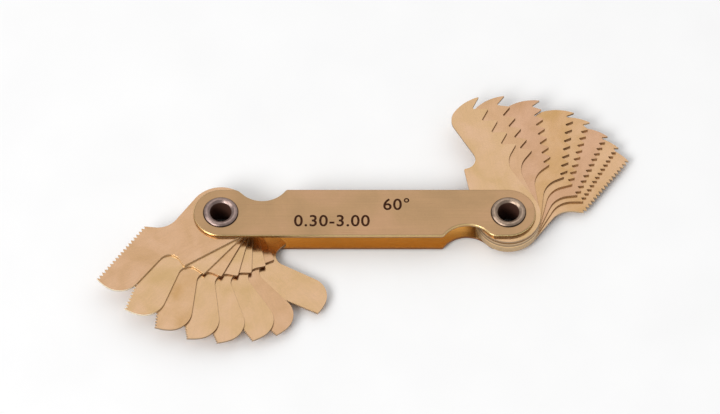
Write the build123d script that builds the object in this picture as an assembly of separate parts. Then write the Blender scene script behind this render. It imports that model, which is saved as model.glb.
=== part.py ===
from build123d import *
import math
import os

# Pocket thread pitch gauge: two case plates joined by two hollow rivets, with eight toothed leaves
# turning on each rivet. Lengths are in millimetres and angles in degrees. The origin is midway
# between the rivets, on the surface that the gauge lies on. X runs along the case and Z is up.

# Case plates
pivot_spacing = 50.8
case_width = 9.6
plate_thickness = 0.7
plate_edge_round = 0.2
notch_radius = 5.0
notch_depth = 2.35
notch_from_pivot = 7.3
notch_inner_round = 2.0
notch_outer_round = 0.6

# Hollow rivets
eyelet_bore_radius = 1.85
eyelet_wall = 0.35
rim_radius = 3.1
rim_height = 0.45

# Fits
plate_hole_clearance = 0.02
leaf_hole_clearance = 0.05
leaf_gap = 0.02
tip_clearance = 0.1

# Leaf blank, described folded: it points along +X from its pivot, with its teeth on the -Y side
leaf_thickness = 0.4
leaf_reach = pivot_spacing / 2 - tip_clearance
tooth_edge_length = 13.4
tooth_edge_lean = 22
back_edge_lean = 20
shank_radius = 5.7
shank_lean = 22
shoulder_slope = 38
shoulder_round = 0.5
hollow_radius = 4.0
heel_reach = 10.9
heel_round = 0.3
scallop_radius = 2.0
end_radius = 8.2
end_lean = 6
fine_blade_width = 6.1
fine_end_round = 3.8
coarse_blade_width = 7.15
coarse_end_round = 3.0

# Sixty degree thread form, with its flats given as shares of the pitch
flank_half_angle = 30
crest_flat_share = 1 / 16
root_flat_share = 1 / 8

# Each leaf's thread pitch, as a share of the unit pitch, and how far the leaf stands open from its
# folded place, from the top leaf down
unit_pitch = 1.0
fine_pitch_shares = [0.75, 0.70, 0.60, 0.50, 0.45, 0.40, 0.35, 0.30]
fine_open_angles = [148.5, 131, 116.5, 103, 91, 77, 67, 47.5]
coarse_pitch_shares = [3.00, 2.50, 2.00, 1.75, 1.50, 1.25, 1.00, 0.80]
coarse_open_angles = [78.5, 89, 103.5, 118.5, 126, 135.5, 142, 149]

# The most of a corner's shorter side that its round may take up
round_room_share = 0.95

# Levels, worked out from the sizes above
leaf_step = leaf_thickness + leaf_gap
stack_bottom = rim_height + plate_thickness
stack_top = stack_bottom + len(fine_pitch_shares) * leaf_step + leaf_gap
eyelet_height = stack_top + plate_thickness + rim_height
eyelet_radius = eyelet_bore_radius + eyelet_wall
pivot_x = pivot_spacing / 2


def polar(length, angle):
    return Vector(length * math.cos(math.radians(angle)), length * math.sin(math.radians(angle)))


# The point where two lines cross, each given by a point and a direction angle
def meet(point, angle, other_point, other_angle):
    along = polar(1, angle)
    other_normal = polar(1, other_angle + 90)
    return point + along * ((other_point - point).dot(other_normal) / along.dot(other_normal))


# The point where a line, followed along its direction, leaves a circle
def leave_circle(point, angle, centre, radius):
    along = polar(1, angle)
    start = point - centre
    half_chord = math.sqrt(start.dot(along) ** 2 - start.dot(start) + radius ** 2)
    return point + along * (half_chord - start.dot(along))


# The direction in which a side of a corner sets off from it
def leave_corner(corner, side):
    if (side @ 0 - corner).length < (side @ 1 - corner).length:
        return side % 0
    return (side % 1) * -1


# Rounds the face's corner nearest to the point, with no more radius than its sides have room for
def round_corner(face, corner, radius):
    vertex = min(face.vertices(), key=lambda v: (Vector(v) - corner).length)
    sides = face.edges().sort_by_distance(vertex)[:2]
    ways = [leave_corner(Vector(vertex), side) for side in sides]
    room = round_room_share * min(side.length for side in sides)
    largest = room * math.tan(math.radians(ways[0].get_angle(ways[1]) / 2))
    return face.fillet_2d(min(radius, largest), [vertex])


# Seen from above, the notch on the far edge uncovers the left fan's heels and the one on the near
# edge the right fan's
def case_plate(outward):
    outline = SlotCenterToCenter(pivot_spacing, case_width).face()
    for side in (-1, 1):
        notch_x = side * (pivot_x - notch_from_pivot)
        notch_y = -side * (case_width / 2 - notch_depth + notch_radius)
        outline = (Sketch() + outline - Pos(notch_x, notch_y) * Circle(notch_radius)).face()
        half_mouth = math.sqrt(notch_radius ** 2 - (notch_radius - notch_depth) ** 2)
        edge_y = -side * case_width / 2
        outline = round_corner(outline, Vector(notch_x + side * half_mouth, edge_y), notch_inner_round)
        outline = round_corner(outline, Vector(notch_x - side * half_mouth, edge_y), notch_outer_round)
    hole = Circle(eyelet_radius + plate_hole_clearance)
    outline = Sketch() + outline - [Pos(-pivot_x, 0) * hole, Pos(pivot_x, 0) * hole]
    plate = extrude(outline, plate_thickness, dir=(0, 0, 1))
    outer_face = plate.faces().sort_by(outward)[-1]
    return fillet(outer_face.outer_wire().edges(), plate_edge_round).solid()


# One turned section: a flat foot ring below, a straight bore and a rolled rim on top
def eyelet():
    rim_start = eyelet_height - rim_height
    rim_middle = (eyelet_bore_radius + rim_radius) / 2

    def at(radius, height):
        return Vector(radius, 0, height)

    foot_edge = at(rim_radius - rim_height, 0)
    section = Wire([
        Line(at(eyelet_bore_radius, 0), foot_edge),
        TangentArc(foot_edge, at(rim_radius, rim_height), tangent=(1, 0, 0)),
        Line(at(rim_radius, rim_height), at(eyelet_radius, rim_height)),
        Line(at(eyelet_radius, rim_height), at(eyelet_radius, rim_start)),
        Line(at(eyelet_radius, rim_start), at(rim_radius, rim_start)),
        ThreePointArc(
            at(rim_radius, rim_start), at(rim_middle, eyelet_height), at(eyelet_bore_radius, rim_start)
        ),
        Line(at(eyelet_bore_radius, rim_start), at(eyelet_bore_radius, 0)),
    ])
    return revolve(Face(section), axis=Axis.Z).solid()


# The blank before its teeth are cut: a round shank on the pivot, a heel that the thumb pushes,
# and a blade that leans across the case and falls away from its tip in a round end
def leaf_blank(blade_width, end_round, tooth_run):
    tip = Vector(leaf_reach, 0)
    shoulder = tip - polar(tooth_run, tooth_edge_lean)
    shank_front = polar(shank_radius, shank_lean - 90)
    hollow = meet(shoulder, 180 - shoulder_slope, shank_front, shank_lean)
    back_point = tip + polar(blade_width, tooth_edge_lean + 90)
    scallop = meet(back_point, back_edge_lean, Vector(heel_reach, 0), 90)
    end_centre = tip - polar(end_radius, end_lean)
    end_corner = leave_circle(back_point, back_edge_lean, end_centre, end_radius)
    end_middle = (tip + end_corner) / 2 - end_centre
    heel = Vector(heel_reach, shank_radius)
    shank_back = Vector(0, shank_radius)
    shank_end = polar(shank_radius, shank_lean / 2 + 180)
    blank = Face(Wire([
        Line(shank_back, heel),
        Line(heel, scallop),
        Line(scallop, end_corner),
        ThreePointArc(end_corner, end_centre + end_middle.normalized() * end_radius, tip),
        Line(tip, shoulder),
        Line(shoulder, hollow),
        Line(hollow, shank_front),
        ThreePointArc(shank_front, shank_end, shank_back),
    ]))
    blank = round_corner(blank, heel, heel_round)
    blank = round_corner(blank, scallop, scallop_radius)
    blank = round_corner(blank, end_corner, end_round)
    blank = round_corner(blank, shoulder, shoulder_round)
    return round_corner(blank, hollow, hollow_radius)


# The gaps between the teeth, set along the tooth edge from the tip inwards
def tooth_gaps(pitch, gap_count):
    half_mouth = pitch * (1 - crest_flat_share) / 2
    half_root = pitch * root_flat_share / 2
    depth = (half_mouth - half_root) / math.tan(math.radians(flank_half_angle))
    gap = Polygon(
        (-half_mouth, -depth), (half_mouth, -depth), (half_mouth, 0),
        (half_root, depth), (-half_root, depth), (-half_mouth, 0),
        align=None,
    )
    tip = Vector(leaf_reach, 0)
    middles = [tip - polar((number + 1 / 2) * pitch, tooth_edge_lean) for number in range(gap_count)]
    return [Pos(middle) * Rot(0, 0, tooth_edge_lean) * gap for middle in middles]


# The toothed edge holds whole teeth only, and its shoulder comes no later than the last of them
def leaf(blade_width, end_round, pitch):
    gap_count = round(tooth_edge_length / pitch)
    tooth_run = min(tooth_edge_length, gap_count * pitch)
    outline = Sketch() + leaf_blank(blade_width, end_round, tooth_run) - tooth_gaps(pitch, gap_count)
    outline -= Circle(eyelet_radius + leaf_hole_clearance)
    return extrude(outline, leaf_thickness, dir=(0, 0, 1)).solid()


# Both fans open clockwise, seen from above: the fine one from the left rivet, facing along +X when
# folded, and the coarse one from the right rivet, facing back along -X. Names end in the pitch, in
# hundredths of the unit pitch.
def fan(side, pivot, folded_angle, blade_width, end_round, pitch_shares, open_angles):
    pieces = {}
    for level, (pitch_share, open_angle) in enumerate(zip(pitch_shares, open_angles), start=1):
        blade = leaf(blade_width, end_round, pitch_share * unit_pitch)
        place = Pos(pivot, 0, stack_top - level * leaf_step) * Rot(0, 0, folded_angle - open_angle)
        pieces[f"leaf_{side}_{round(pitch_share * 100):03d}"] = place * blade
    return pieces


pieces = {
    "case_plate_top": Pos(0, 0, stack_top) * case_plate(Axis.Z),
    "case_plate_bottom": Pos(0, 0, rim_height) * case_plate(-Axis.Z),
    "eyelet_left": Pos(-pivot_x, 0) * eyelet(),
    "eyelet_right": Pos(pivot_x, 0) * eyelet(),
}
pieces |= fan(
    "left", -pivot_x, 0, fine_blade_width, fine_end_round, fine_pitch_shares, fine_open_angles
)
pieces |= fan(
    "right", pivot_x, 180, coarse_blade_width, coarse_end_round, coarse_pitch_shares, coarse_open_angles
)

os.makedirs("parts", exist_ok=True)
for name, piece in pieces.items():
    export_step(piece, f"parts/{name}.step")
    print(name, round(piece.volume, 2))
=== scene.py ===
import math
import bmesh
import bpy
from mathutils import Matrix, Vector


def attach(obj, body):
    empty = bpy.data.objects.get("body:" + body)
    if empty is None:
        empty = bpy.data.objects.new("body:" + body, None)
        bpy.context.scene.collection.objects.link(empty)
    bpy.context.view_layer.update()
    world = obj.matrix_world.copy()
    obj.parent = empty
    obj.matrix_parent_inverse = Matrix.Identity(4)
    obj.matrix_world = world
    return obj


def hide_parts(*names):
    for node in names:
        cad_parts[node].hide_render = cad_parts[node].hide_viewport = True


# Pocket thread pitch gauge. X runs along the case and Z is up. The case plates and the leaves keep their
# own meshes and get their finish here. The two hollow rivets are turned again, with softer rims. Lengths
# are in mm where no other unit is given.

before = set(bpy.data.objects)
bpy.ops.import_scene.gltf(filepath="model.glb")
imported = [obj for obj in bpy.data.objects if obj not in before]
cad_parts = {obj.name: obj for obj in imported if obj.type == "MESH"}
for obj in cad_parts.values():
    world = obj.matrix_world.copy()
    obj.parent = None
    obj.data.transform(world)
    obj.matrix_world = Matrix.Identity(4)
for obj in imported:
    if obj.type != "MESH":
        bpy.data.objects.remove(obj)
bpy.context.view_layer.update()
print("frame loaded:", len(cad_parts), "nodes")

millimetre = 0.001
pivotX = 25.4  # each rivet's distance from the middle
plateTop = 5.23  # height of the upper plate's outer face
caseMiddle = 2.84  # height halfway between the plates
noiseLow = 0.3  # nearly all of a noise lies between these two
noiseHigh = 0.7
colourA = 6  # a Mix node's sockets for two colours and for two numbers
colourB = 7
numberA = 2
numberB = 3
mixedColour = 2  # and its output for the colour


# sRGB hex to the linear colour that a shader takes
def toLinear(hexColour):
    channels = [int(hexColour[start:start + 2], 16) / 255 for start in (1, 3, 5)]
    linear = [c / 12.92 if c <= 0.04045 else ((c + 0.055) / 1.055) ** 2.4 for c in channels]
    return (*linear, 1.0)


# Adds a node. Settings go to its properties. Each input takes a value, or the output of another node.
def addNode(tree, kind, inputs=None, **settings):
    node = tree.nodes.new("ShaderNode" + kind)
    for name, value in settings.items():
        setattr(node, name, value)
    for socket, value in (inputs or {}).items():
        if isinstance(value, bpy.types.NodeSocket):
            tree.links.new(value, node.inputs[socket])
        else:
            node.inputs[socket].default_value = value
    return node


# An empty material and its node tree
def startMaterial(name):
    material = bpy.data.materials.new(name)
    material.use_nodes = True
    material.node_tree.nodes.clear()
    return material, material.node_tree


# Sets a colour ramp's stops, each a place from 0 to 1 and a hex colour
def fillRamp(node, stops):
    ramp = node.color_ramp
    while len(ramp.elements) < len(stops):
        ramp.elements.new(0.5)
    for element, (place, hexColour) in zip(ramp.elements, stops):
        element.position = place
        element.color = toLinear(hexColour)
    return node.outputs["Color"]


# Steel strip with a yellow chromate coat, ground along its length: a satin straw gold whose tint drifts
# from pinkish to olive, with hair-fine lines. Real grinding lines are about 0.05 mm apart, and these are
# drawn about 0.25 mm apart so that they show.
def makeChromatedSteel(name, look):
    material, tree = startMaterial(name)
    place = addNode(tree, "TexCoord")
    inMillimetres = addNode(tree, "Mapping", {
        "Vector": place.outputs["Object"],
        "Location": (-look["pivot"], 0, 0),
        "Scale": (1 / millimetre,) * 3,
    })
    turned = addNode(tree, "Mapping", {
        "Vector": inMillimetres.outputs[0],
        "Rotation": (0, 0, math.radians(-look["angle"])),
    })

    # the tint drifts over a few millimetres
    drift = addNode(tree, "TexNoise", {
        "Vector": turned.outputs[0], "W": look["seed"], "Scale": 1 / look["driftSize"],
        "Detail": 3, "Roughness": 0.55, "Distortion": 0.4,
    }, noise_dimensions="4D")
    tintStops = addNode(tree, "ValToRGB", {"Fac": drift.outputs["Fac"]})
    tint = fillRamp(tintStops, look["tints"])

    # ground lines, long along the strip and narrow across it
    stretched = addNode(tree, "Mapping", {
        "Vector": turned.outputs[0],
        "Scale": (1 / look["lineLength"], 1 / look["lineWidth"], 1 / look["lineLength"]),
    })
    lines = addNode(tree, "TexNoise", {
        "Vector": stretched.outputs[0], "W": look["seed"] + look["lineSeedStep"], "Scale": 1,
        "Detail": 2, "Roughness": 0.6,
    }, noise_dimensions="4D")
    lined = addNode(tree, "MapRange", {
        "Value": lines.outputs["Fac"], "From Min": noiseLow, "From Max": noiseHigh,
        "To Min": 1 - look["lineDepth"], "To Max": 1 + look["lineDepth"],
    })
    linedTint = addNode(tree, "VectorMath", {0: tint, "Scale": lined.outputs[0]}, operation="SCALE")

    # the coat's grain
    grain = addNode(tree, "TexNoise", {
        "Vector": inMillimetres.outputs[0], "Scale": 1 / look["grainSize"], "Detail": 3, "Roughness": 0.7,
    })
    grained = addNode(tree, "MapRange", {
        "Value": grain.outputs["Fac"], "From Min": look["grainLow"], "From Max": look["grainHigh"],
        "To Min": 1 - look["grainDepth"], "To Max": 1 + look["grainDepth"],
    })
    surface = addNode(tree, "VectorMath", {
        0: linedTint.outputs[0], "Scale": grained.outputs[0],
    }, operation="SCALE")

    colour = surface.outputs[0]
    roughened = addNode(tree, "MapRange", {
        "Value": lines.outputs["Fac"], "From Min": noiseLow, "From Max": noiseHigh,
        "To Min": look["roughness"] - look["smoother"], "To Max": look["roughness"] + look["rougher"],
    })
    roughness = roughened.outputs[0]

    # how flat a face lies: 1 on the flats and 0 on the sides, with the rounded edge in between
    facing = addNode(tree, "SeparateXYZ", {0: place.outputs["Normal"]})
    flatness = addNode(tree, "Math", {0: facing.outputs["Z"]}, operation="ABSOLUTE")
    rounded = addNode(tree, "MapRange", {
        "Value": flatness.outputs[0], "From Min": look["roundUpTo"], "From Max": look["flatFrom"],
        "To Min": 1, "To Max": 0,
    }, interpolation_type="SMOOTHSTEP")

    # on a plate, the faces that look into the case get a much paler, glossier copy of the coat, a painted
    # light that brightens the gap between the plates, and its rounded edge gets a pale gold painted
    # highlight
    level = addNode(tree, "SeparateXYZ", {0: inMillimetres.outputs[0]})
    if look["isPlate"]:
        fromMiddle = addNode(tree, "Math", {0: level.outputs["Z"], 1: caseMiddle}, operation="SUBTRACT")
        fromMiddleEither = addNode(tree, "Math", {0: fromMiddle.outputs[0]}, operation="ABSOLUTE")
        inside = addNode(tree, "MapRange", {
            "Value": fromMiddleEither.outputs[0],
            "From Min": look["insideUpTo"], "From Max": look["outsideFrom"], "To Min": 1, "To Max": 0,
        })
        litInside = addNode(tree, "VectorMath", {
            0: toLinear(look["insideLitColour"])[:3], "Scale": lined.outputs[0],
        }, operation="SCALE")
        withInside = addNode(tree, "Mix", {
            "Factor": inside.outputs[0], colourA: colour, colourB: litInside.outputs[0],
        }, data_type="RGBA")
        # painted highlight: the rounded edge takes a pale gold colour
        withEdgeHighlight = addNode(tree, "Mix", {
            "Factor": rounded.outputs[0], colourA: withInside.outputs[mixedColour],
            colourB: toLinear(look["edgeHighlightColour"]),
        }, data_type="RGBA")
        colour = withEdgeHighlight.outputs[mixedColour]
        insideRoughness = addNode(tree, "Mix", {
            "Factor": inside.outputs[0], numberA: roughness, numberB: look["insideRoughness"],
        }, data_type="FLOAT")
        roughness = insideRoughness.outputs[0]

    # a stamped side has a bright sheared band above a dull torn one. The colours given for each piece also
    # paint light on it: the pale ones are painted highlights, the dark ones painted shade
    upSide = addNode(tree, "MapRange", {
        "Value": level.outputs["Z"],
        "From Min": look["underside"], "From Max": look["underside"] + look["thick"],
        "To Min": 0, "To Max": 1,
    })
    sideStops = addNode(tree, "ValToRGB", {"Fac": upSide.outputs[0]})
    side = fillRamp(sideStops, look["sideBands"])
    upright = addNode(tree, "MapRange", {
        "Value": flatness.outputs[0], "From Min": look["sideUpTo"], "From Max": look["sideGoneBy"],
        "To Min": 1, "To Max": 0,
    }, interpolation_type="SMOOTHSTEP")
    withSide = addNode(tree, "Mix", {
        "Factor": upright.outputs[0], colourA: colour, colourB: side,
    }, data_type="RGBA")

    # painted shade: darker and less metallic where one piece lies close on the next, read from ambient
    # occlusion
    step = addNode(tree, "AmbientOcclusion", {"Distance": look["creviceShadeReach"] * millimetre}, samples=8)
    creviceShade = addNode(tree, "MapRange", {
        "Value": step.outputs["AO"], "From Min": look["creviceShadeFrom"], "From Max": look["creviceShadeTo"],
        "To Min": look["creviceShadeShare"], "To Max": 0,
    }, interpolation_type="SMOOTHSTEP")
    creviceShadeStops = addNode(tree, "ValToRGB", {"Fac": step.outputs["AO"]})
    creviceShadeColour = fillRamp(creviceShadeStops, look["creviceShadeStops"])
    withCreviceShade = addNode(tree, "Mix", {
        "Factor": creviceShade.outputs[0], colourA: withSide.outputs[mixedColour], colourB: creviceShadeColour,
    }, data_type="RGBA")
    colour = withCreviceShade.outputs[mixedColour]

    # painted shade: a dark ring on the plate where each rivet's rim meets it
    if look["isPlate"]:
        folded = addNode(tree, "VectorMath", {0: inMillimetres.outputs[0]}, operation="ABSOLUTE")
        fromRivet = addNode(tree, "VectorMath", {
            0: folded.outputs[0], 1: (pivotX, 0, 0),
        }, operation="SUBTRACT")
        inPlan = addNode(tree, "VectorMath", {0: fromRivet.outputs[0], 1: (1, 1, 0)}, operation="MULTIPLY")
        radius = addNode(tree, "VectorMath", {0: inPlan.outputs[0]}, operation="LENGTH")
        ring = addNode(tree, "MapRange", {
            "Value": radius.outputs["Value"], "From Min": look["rimShadeUpTo"], "From Max": look["rimShadeGoneBy"],
            "To Min": look["rimShadeShare"], "To Max": 0,
        }, interpolation_type="SMOOTHSTEP")
        withRimShade = addNode(tree, "Mix", {
            "Factor": ring.outputs[0], colourA: colour, colourB: toLinear(look["rimShadeColour"]),
        }, data_type="RGBA")
        colour = withRimShade.outputs[mixedColour]

    edgeRoughness = addNode(tree, "Mix", {
        "Factor": rounded.outputs[0], numberA: roughness, numberB: look["edgeRoughness"],
    }, data_type="FLOAT")
    softened = addNode(tree, "Bevel", {"Radius": look["softEdge"] * millimetre}, samples=6)
    relief = addNode(tree, "Bump", {
        "Height": lines.outputs["Fac"], "Strength": look["relief"],
        "Distance": look["reliefHeight"] * millimetre, "Normal": softened.outputs[0],
    })
    unshadedMetal = addNode(tree, "Math", {0: 1.0, 1: creviceShade.outputs[0]}, operation="SUBTRACT")
    shader = addNode(tree, "BsdfPrincipled", {
        "Base Color": colour, "Metallic": unshadedMetal.outputs[0], "Roughness": edgeRoughness.outputs[0],
        "Normal": relief.outputs[0],
    })
    addNode(tree, "OutputMaterial", {"Surface": shader.outputs[0]})
    return material


# Nickel-plated rivet, turned and rolled over: a pinkish grey satin with fine rings, and a bore painted
# dark brown and not metallic, a painted shade for the deep hole
def makeRivetNickel(name, look):
    material, tree = startMaterial(name)
    place = addNode(tree, "TexCoord")
    centred = addNode(tree, "Mapping", {
        "Vector": place.outputs["Object"],
        "Location": (-look["pivot"], 0, 0),
        "Scale": (1 / millimetre,) * 3,
    })
    inPlan = addNode(tree, "VectorMath", {0: centred.outputs[0], 1: (1, 1, 0)}, operation="MULTIPLY")
    radius = addNode(tree, "VectorMath", {0: inPlan.outputs[0]}, operation="LENGTH")
    wear = addNode(tree, "TexNoise", {
        "Vector": centred.outputs[0], "Scale": 1 / look["wearSize"], "Detail": 4, "Roughness": 0.6,
    })
    platingStops = addNode(tree, "ValToRGB", {"Fac": wear.outputs["Fac"]})
    plating = fillRamp(platingStops, look["tints"])
    # painted shade: the rim is darkened at its outer edge, where it meets the plate
    outline = addNode(tree, "MapRange", {
        "Value": radius.outputs["Value"], "From Min": look["outlineShadeFrom"], "From Max": look["outlineShadeFullBy"],
        "To Min": 0, "To Max": look["outlineShadeShare"],
    }, interpolation_type="SMOOTHSTEP")
    withOutlineShade = addNode(tree, "Mix", {
        "Factor": outline.outputs[0], colourA: plating, colourB: toLinear(look["outlineShadeColour"]),
    }, data_type="RGBA")
    # painted shade: the bore is dark brown
    bore = addNode(tree, "MapRange", {
        "Value": radius.outputs["Value"], "From Min": look["boreUpTo"], "From Max": look["boreGoneBy"],
        "To Min": 1, "To Max": 0,
    }, interpolation_type="SMOOTHSTEP")
    colour = addNode(tree, "Mix", {
        "Factor": bore.outputs[0], colourA: withOutlineShade.outputs[mixedColour],
        colourB: toLinear(look["boreShadeColour"]),
    }, data_type="RGBA")
    roughness = addNode(tree, "Mix", {
        "Factor": bore.outputs[0], numberA: look["roughness"], numberB: look["boreRoughness"],
    }, data_type="FLOAT")
    bareMetal = addNode(tree, "Math", {0: 1.0, 1: bore.outputs[0]}, operation="SUBTRACT")
    ringing = addNode(tree, "TexNoise", {
        1: radius.outputs["Value"], "Scale": look["ringsPerMm"], "Detail": 2,
    }, noise_dimensions="1D")
    relief = addNode(tree, "Bump", {
        "Height": ringing.outputs["Fac"], "Strength": look["relief"],
        "Distance": look["reliefHeight"] * millimetre,
    })
    shader = addNode(tree, "BsdfPrincipled", {
        "Base Color": colour.outputs[mixedColour], "Metallic": bareMetal.outputs[0],
        "Roughness": roughness.outputs[0], "Normal": relief.outputs[0],
    })
    addNode(tree, "OutputMaterial", {"Surface": shader.outputs[0]})
    return material


# Etched marks: acid-bitten steel, dull dark brown with a little of the metal showing through
def makeEtch(name, look):
    material, tree = startMaterial(name)
    place = addNode(tree, "TexCoord")
    bite = addNode(tree, "TexNoise", {
        "Vector": place.outputs["Object"], "Scale": 1 / (look["biteSize"] * millimetre), "Detail": 3,
    })
    stops = addNode(tree, "ValToRGB", {"Fac": bite.outputs["Fac"]})
    shader = addNode(tree, "BsdfPrincipled", {
        "Base Color": fillRamp(stops, look["tints"]), "Roughness": look["roughness"],
        "Specular IOR Level": look["specular"],
    })
    addNode(tree, "OutputMaterial", {"Surface": shader.outputs[0]})
    return material


# The coat of the plates and the leaves. Flatness is 1 on a flat face and 0 on an upright one. The painted
# crevice shade's limits are shares of open air around a point.
coatLook = {
    "lineSeedStep": 3,
    "grainSize": 0.35, "grainLow": 0.25, "grainHigh": 0.75, "grainDepth": 0.04,
    "roundUpTo": 0.6, "flatFrom": 0.95,  # flatness
    "sideUpTo": 0.1, "sideGoneBy": 0.4,  # flatness
    "creviceShadeReach": 0.4,
    "smoother": 0.05, "rougher": 0.07,  # below and above the look's own roughness
    "reliefHeight": 0.02,
}

# Case plates
caseLook = coatLook | {
    "isPlate": True, "pivot": 0, "angle": 0, "thick": 0.7, "seed": 1.0, "driftSize": 9.0,
    "tints": [(0.3, "#B2906A"), (0.5, "#BC9770"), (0.7, "#C59C78")],
    "lineLength": 14.0, "lineWidth": 0.25, "lineDepth": 0.04,
    "insideUpTo": 1.72, "outsideFrom": 1.8,  # distance from caseMiddle
    # the paler inside colour is a painted light for the gap between the plates
    "insideLitColour": "#F3DAAF", "insideRoughness": 0.16,
    # the rounded edge's pale gold is a painted highlight
    "edgeHighlightColour": "#F4DC9C", "edgeRoughness": 0.26,
    # painted shade in the case's crevices
    "creviceShadeFrom": 0.5, "creviceShadeTo": 0.72, "creviceShadeShare": 0.9,
    "creviceShadeStops": [(0.2, "#4A2F16"), (0.5, "#4A2F16")],  # one colour, however deep
    # a painted shade ring around each rivet's rim
    "rimShadeUpTo": 3.1, "rimShadeGoneBy": 3.2, "rimShadeShare": 0.85, "rimShadeColour": "#4A3422",
    "roughness": 0.32, "relief": 0.22,
}
casePlates = [  # name, height of the underside, softness of the edges, colours up the side
    ("case_plate_top", 4.53, 0.35, [(0.0, "#8F6C44"), (0.5, "#CFAA76")]),
    ("case_plate_bottom", 0.45, 0.01, [(0.5, "#7A4722"), (0.9, "#9A6230")]),
# the lower plate's dark side is painted shade, and the upper plate's paler upper band partly a painted
# highlight
]
for name, underside, softEdge, bands in casePlates:
    look = caseLook | {"underside": underside, "softEdge": softEdge, "sideBands": bands}
    finish = makeChromatedSteel("chromatedCaseSteel_" + name.removeprefix("case_plate_"), look)
    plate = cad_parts[name]
    plate.data.materials.clear()
    plate.data.materials.append(finish)
print("case plates finished")

# Leaves, from the top down on each rivet. Each has its own tint, and its ground lines run along its blade.
leafLook = coatLook | {
    "isPlate": False, "thick": 0.4, "driftSize": 5.0,
    "lineLength": 9.0, "lineWidth": 0.22, "lineDepth": 0.03,
    "edgeRoughness": 0.5, "softEdge": 0.01,
    # painted shade in the leaves' crevices, painted paler again where it is deepest
    "creviceShadeFrom": 0.5, "creviceShadeTo": 0.74, "creviceShadeShare": 0.7, "creviceShadeStops": [(0.25, "#F6D6AA"), (0.45, "#B08252")],
    "roughness": 0.18, "relief": 0.12,
}
topUnderside = 4.11  # height of the top leaf's underside
leafStep = 0.42  # from one leaf down to the next
seedStep = 10.0  # keeps the two fans' tints apart
strawTint = [(0.3, "#CFAB7B"), (0.5, "#D8B288"), (0.7, "#DDB692")]
pinkTint = [(0.3, "#C89D77"), (0.5, "#D1A684"), (0.7, "#D9AE8E")]
yellowTint = [(0.3, "#CBA170"), (0.5, "#D5AD83"), (0.7, "#DDB590")]
goldTint = [(0.3, "#C9A06C"), (0.5, "#D3A97C"), (0.7, "#DAB28A")]
duskTint = [(0.3, "#CBA379"), (0.5, "#D4AB85"), (0.7, "#DAB28F")]
# side colours: partly the sheared and torn bands, partly painted light; the palest are painted highlights on
# the edges, the darkest painted shade along the edges and the stack
highlightedSide = [(0.15, "#C8B898"), (0.45, "#FFF4DC")]
goldSide = [(0.15, "#B59468"), (0.45, "#EDCFA0")]
plainSide = [(0.15, "#A38560"), (0.45, "#D6BC98")]
shadowedSide = [(0.15, "#8A7056"), (0.45, "#B0977A")]
darkShadowedSide = [(0.1, "#7C5A34"), (0.8, "#9C774C")]
leftLeaves = [  # name, direction of the blade in degrees, tint, colours up the side
    ("leaf_left_075", -148.5, duskTint, highlightedSide), ("leaf_left_070", -131, strawTint, highlightedSide),
    ("leaf_left_060", -116.5, yellowTint, shadowedSide), ("leaf_left_050", -103, strawTint, shadowedSide),
    ("leaf_left_045", -91, strawTint, shadowedSide), ("leaf_left_040", -77, strawTint, shadowedSide),
    ("leaf_left_035", -67, duskTint, shadowedSide), ("leaf_left_030", -47.5, strawTint, shadowedSide),
]
rightLeaves = [
    ("leaf_right_300", 101.5, strawTint, shadowedSide), ("leaf_right_250", 91, duskTint, darkShadowedSide),
    ("leaf_right_200", 76.5, pinkTint, plainSide), ("leaf_right_175", 61.5, goldTint, shadowedSide),
    ("leaf_right_150", 54, yellowTint, goldSide), ("leaf_right_125", 44.5, pinkTint, plainSide),
    ("leaf_right_100", 38, yellowTint, plainSide), ("leaf_right_080", 31, yellowTint, plainSide),
]
for side, leaves in ((-1, leftLeaves), (1, rightLeaves)):
    for number, (name, angle, tints, bands) in enumerate(leaves):
        look = leafLook | {
            "pivot": side * pivotX, "angle": angle, "tints": tints, "sideBands": bands,
            "seed": seedStep * side + number, "underside": topUnderside - leafStep * number,
        }
        finish = makeChromatedSteel("chromatedLeafSteel_" + name.removeprefix("leaf_"), look)
        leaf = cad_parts[name]
        leaf.data.materials.clear()
        leaf.data.materials.append(finish)
print("leaves finished")

# Hollow rivets: a half-section as (radius, height), turned about each pivot
rivetLook = {
    "section": [
        (1.85, 0.0), (2.7, 0.0), (3.0, 0.12), (3.1, 0.44), (2.2, 0.44), (2.2, 5.24), (3.1, 5.24),
        (3.1, 5.3), (3.0, 5.42), (2.64, 5.63), (2.5, 5.67), (2.38, 5.65), (1.95, 5.4), (1.85, 5.2),
    ],
    "steps": 96, "mergeWithin": 0.0001,
    "softening": 0.04, "softeningSegments": 4,
    "softenAbove": 5.3, "softenFrom": 0.3,  # only the upper rim's corners sharper than this, in radians
    "sharpFrom": 0.6,  # radians
    "wearSize": 0.625,
    # the rim's dark outer outline is painted shade
    "outlineShadeFrom": 2.93, "outlineShadeFullBy": 3.02, "outlineShadeShare": 0.9, "outlineShadeColour": "#33231C",
    # the bore's dark colour is painted shade
    "boreUpTo": 1.87, "boreGoneBy": 2.0, "boreShadeColour": "#46291C", "boreRoughness": 0.6,
    "roughness": 0.28, "ringsPerMm": 9.0, "relief": 0.2, "reliefHeight": 0.03,
}


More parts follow.
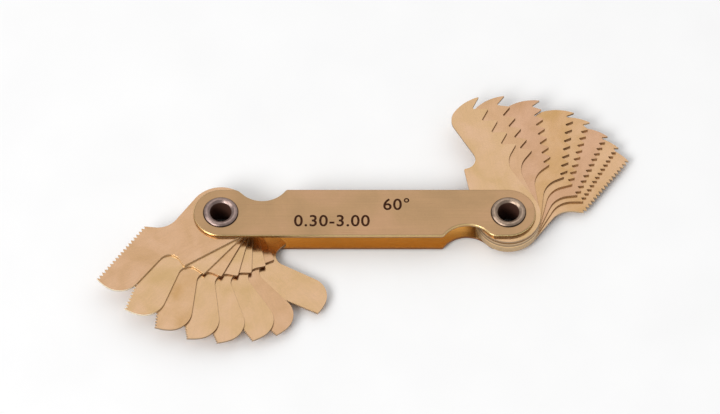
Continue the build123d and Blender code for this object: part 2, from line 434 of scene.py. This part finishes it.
# Spins the half-section, softens its upper rim and puts it on its pivot, in metres
def makeRivet(name, pivot, look):
    rivetMesh = bmesh.new()
    corners = [rivetMesh.verts.new((radius, 0, height)) for radius, height in look["section"]]
    sides = [rivetMesh.edges.new(pair) for pair in zip(corners, corners[1:] + corners[:1])]
    bmesh.ops.spin(
        rivetMesh, geom=corners + sides, cent=(0, 0, 0), axis=(0, 0, 1), angle=math.tau,
        steps=look["steps"], use_merge=True,
    )
    bmesh.ops.remove_doubles(rivetMesh, verts=rivetMesh.verts, dist=look["mergeWithin"])
    bmesh.ops.recalc_face_normals(rivetMesh, faces=rivetMesh.faces)
    rimEdges = [
        e for e in rivetMesh.edges
        if len(e.link_faces) == 2 and e.calc_face_angle() > look["softenFrom"]
        and min(v.co.z for v in e.verts) > look["softenAbove"]
    ]
    bmesh.ops.bevel(
        rivetMesh, geom=rimEdges, offset=look["softening"], affect="EDGES",
        segments=look["softeningSegments"], profile=0.5, material=-1, clamp_overlap=True,
    )
    bmesh.ops.scale(rivetMesh, vec=(millimetre,) * 3, verts=rivetMesh.verts)
    bmesh.ops.translate(rivetMesh, vec=(pivot * millimetre, 0, 0), verts=rivetMesh.verts)
    for face in rivetMesh.faces:
        face.smooth = True
    for e in rivetMesh.edges:
        e.smooth = len(e.link_faces) == 2 and e.calc_face_angle() < look["sharpFrom"]
    mesh = bpy.data.meshes.new(name)
    rivetMesh.to_mesh(mesh)
    rivetMesh.free()
    rivet = bpy.data.objects.new(name, mesh)
    bpy.context.scene.collection.objects.link(rivet)
    mesh.materials.append(makeRivetNickel(name + "Nickel", look | {"pivot": pivot}))
    return rivet


rivets = [
    ("rivetLeft", "eyelet_left", -pivotX, [(0.3, "#937D76"), (0.6, "#AE978F")]),
    ("rivetRight", "eyelet_right", pivotX, [(0.3, "#9A8472"), (0.6, "#B8A08C")]),
]
for name, node, pivot, tints in rivets:
    rivet = makeRivet(name, pivot, rivetLook | {"tints": tints})
    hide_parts(node)
    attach(rivet, "case")
print("rivets turned")

# Etched numbers on the upper plate: the range of pitches and the thread angle
etchLook = {
    "marks": [("pitchRangeMark", "0.30-3.00", -12.5, -2.85), ("threadAngleMark", "60°", 3.2, 0.55)],
    "size": 3.3, "spacing": 1.08, "thickening": 0.045, "curveSteps": 6,
    "above": 0.006,  # just clear of the plate, so that the marks cover it
    "tints": [(0.35, "#2C150A"), (0.75, "#4E2C16")],
    "biteSize": 0.4, "roughness": 0.85, "specular": 0.15,
}
etch = makeEtch("etchedSteel", etchLook)
for name, words, left, base in etchLook["marks"]:
    curve = bpy.data.curves.new(name, "FONT")
    curve.body = words
    curve.size = etchLook["size"]
    curve.space_character = etchLook["spacing"]
    curve.offset = etchLook["thickening"]
    curve.resolution_u = etchLook["curveSteps"]
    drawn = bpy.data.objects.new(name + "Drawn", curve)
    bpy.context.scene.collection.objects.link(drawn)
    bpy.context.view_layer.update()
    mesh = bpy.data.meshes.new_from_object(drawn)
    bpy.data.objects.remove(drawn)
    mesh.transform(Matrix.Translation((left, base, plateTop + etchLook["above"])))
    mesh.transform(Matrix.Scale(millimetre, 4))
    mesh.materials.clear()
    mesh.materials.append(etch)
    mark = bpy.data.objects.new(name, mesh)
    bpy.context.scene.collection.objects.link(mark)
    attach(mark, "case")
print("numbers etched")

# Floor: matt paper, nearly white. At the bottom of the rivets' bores it is darkened further, a painted
# shade deeper than their shade alone makes it.
floorLook = {
    "size": 2000, "below": 0.02,
    "mottlesPerMetre": 60, "tints": [(0.3, "#FAFAFA"), (0.7, "#FDFDFD")],
    "boreUpTo": 1.9, "boreGoneBy": 2.2, "boreReach": 6.0, "boreShade": 0.1,
    "closedBelow": 0.15, "openFrom": 0.4,  # shares of open air above a point
    "roughness": 0.9, "specular": 0.1,
}
floorMaterial, floorTree = startMaterial("mattPaper")
paperPlace = addNode(floorTree, "TexCoord")
paperMottle = addNode(floorTree, "TexNoise", {
    "Vector": paperPlace.outputs["Object"], "Scale": floorLook["mottlesPerMetre"], "Detail": 2,
})
paperStops = addNode(floorTree, "ValToRGB", {"Fac": paperMottle.outputs["Fac"]})
paperColour = fillRamp(paperStops, floorLook["tints"])
cover = addNode(floorTree, "AmbientOcclusion", {"Distance": floorLook["boreReach"] * millimetre}, samples=8)
onePivot = addNode(floorTree, "VectorMath", {0: paperPlace.outputs["Object"]}, operation="ABSOLUTE")
fromPivot = addNode(floorTree, "VectorMath", {
    0: onePivot.outputs[0], 1: (pivotX * millimetre, 0, 0),
}, operation="DISTANCE")
deepest = addNode(floorTree, "MapRange", {
    "Value": fromPivot.outputs["Value"],
    "From Min": floorLook["boreUpTo"] * millimetre, "From Max": floorLook["boreGoneBy"] * millimetre,
    "To Min": floorLook["boreShade"], "To Max": 1,
})
covered = addNode(floorTree, "MapRange", {
    "Value": cover.outputs["AO"], "From Min": floorLook["closedBelow"], "From Max": floorLook["openFrom"],
    "To Min": deepest.outputs[0], "To Max": 1,
}, interpolation_type="SMOOTHSTEP")
shadedPaper = addNode(floorTree, "VectorMath", {
    0: paperColour, "Scale": covered.outputs[0],
}, operation="SCALE")
paperShader = addNode(floorTree, "BsdfPrincipled", {
    "Base Color": shadedPaper.outputs[0], "Roughness": floorLook["roughness"],
    "Specular IOR Level": floorLook["specular"],
})
addNode(floorTree, "OutputMaterial", {"Surface": paperShader.outputs[0]})
floorMesh = bmesh.new()
bmesh.ops.create_grid(floorMesh, x_segments=1, y_segments=1, size=floorLook["size"] * millimetre)
floorData = bpy.data.meshes.new("floor")
floorMesh.to_mesh(floorData)
floorMesh.free()
floorData.materials.append(floorMaterial)
floor = bpy.data.objects.new("floor", floorData)
floor.location = (0, 0, -floorLook["below"] * millimetre)
bpy.context.scene.collection.objects.link(floor)

# Light: a pale room, brightest above and behind, with a broad lamp in front on the left and a weaker one
# beside the object. The room brightens with the cosine of the angle from its brightest direction.
lightLook = {
    "towards": (0.03, 0.55, 0.835), "dimUpTo": 0.5, "brightFrom": 0.92, "dimmest": 0.3, "brightest": 1.01,
    "lamps": [  # name, place and width in metres, power in watts
        ("leftLamp", (-0.6, -0.05, 0.6), 0.4, 0.8),
        ("frontLamp", (-1.65, -1.9, 2.05), 1.7, 60.0),
    ],
}
world = bpy.data.worlds.new("paleRoom")
bpy.context.scene.world = world
world.use_nodes = True
world.node_tree.nodes.clear()
skyPlace = addNode(world.node_tree, "TexCoord")
upwards = addNode(world.node_tree, "VectorMath", {
    0: skyPlace.outputs["Generated"], 1: lightLook["towards"],
}, operation="DOT_PRODUCT")
sky = addNode(world.node_tree, "MapRange", {
    "Value": upwards.outputs["Value"], "From Min": lightLook["dimUpTo"], "From Max": lightLook["brightFrom"],
    "To Min": lightLook["dimmest"], "To Max": lightLook["brightest"],
})
background = addNode(world.node_tree, "Background", {"Color": (1, 1, 1, 1), "Strength": sky.outputs[0]})
addNode(world.node_tree, "OutputWorld", {"Surface": background.outputs[0]})
for name, place, width, power in lightLook["lamps"]:
    lamp = bpy.data.lights.new(name, "AREA")
    lamp.shape = "DISK"
    lamp.size = width
    lamp.energy = power
    lampObject = bpy.data.objects.new(name, lamp)
    lampObject.location = place
    lampObject.rotation_euler = (-Vector(place)).to_track_quat("-Z", "Y").to_euler()
    bpy.context.scene.collection.objects.link(lampObject)
print("lit")

# Camera: a long lens from in front, 58 degrees up
cameraLook = {
    "target": (-0.81, 1.12, 5.23), "elevation": 57.92, "distance": 982.34,
    "lens": 278.05, "sensor": 36, "nearest": 10,
}
elevation = math.radians(cameraLook["elevation"])
ahead = Vector((0, math.cos(elevation), -math.sin(elevation)))
cameraData = bpy.data.cameras.new("camera")
cameraData.sensor_width = cameraLook["sensor"]
cameraData.lens = cameraLook["lens"]
cameraData.clip_start = cameraLook["nearest"] * millimetre
camera = bpy.data.objects.new("camera", cameraData)
camera.location = (Vector(cameraLook["target"]) - ahead * cameraLook["distance"]) * millimetre
camera.rotation_euler = ahead.to_track_quat("-Z", "Y").to_euler()
bpy.context.scene.collection.objects.link(camera)
bpy.context.scene.camera = camera
bpy.context.scene.view_settings.view_transform = "Standard"
print("camera placed")
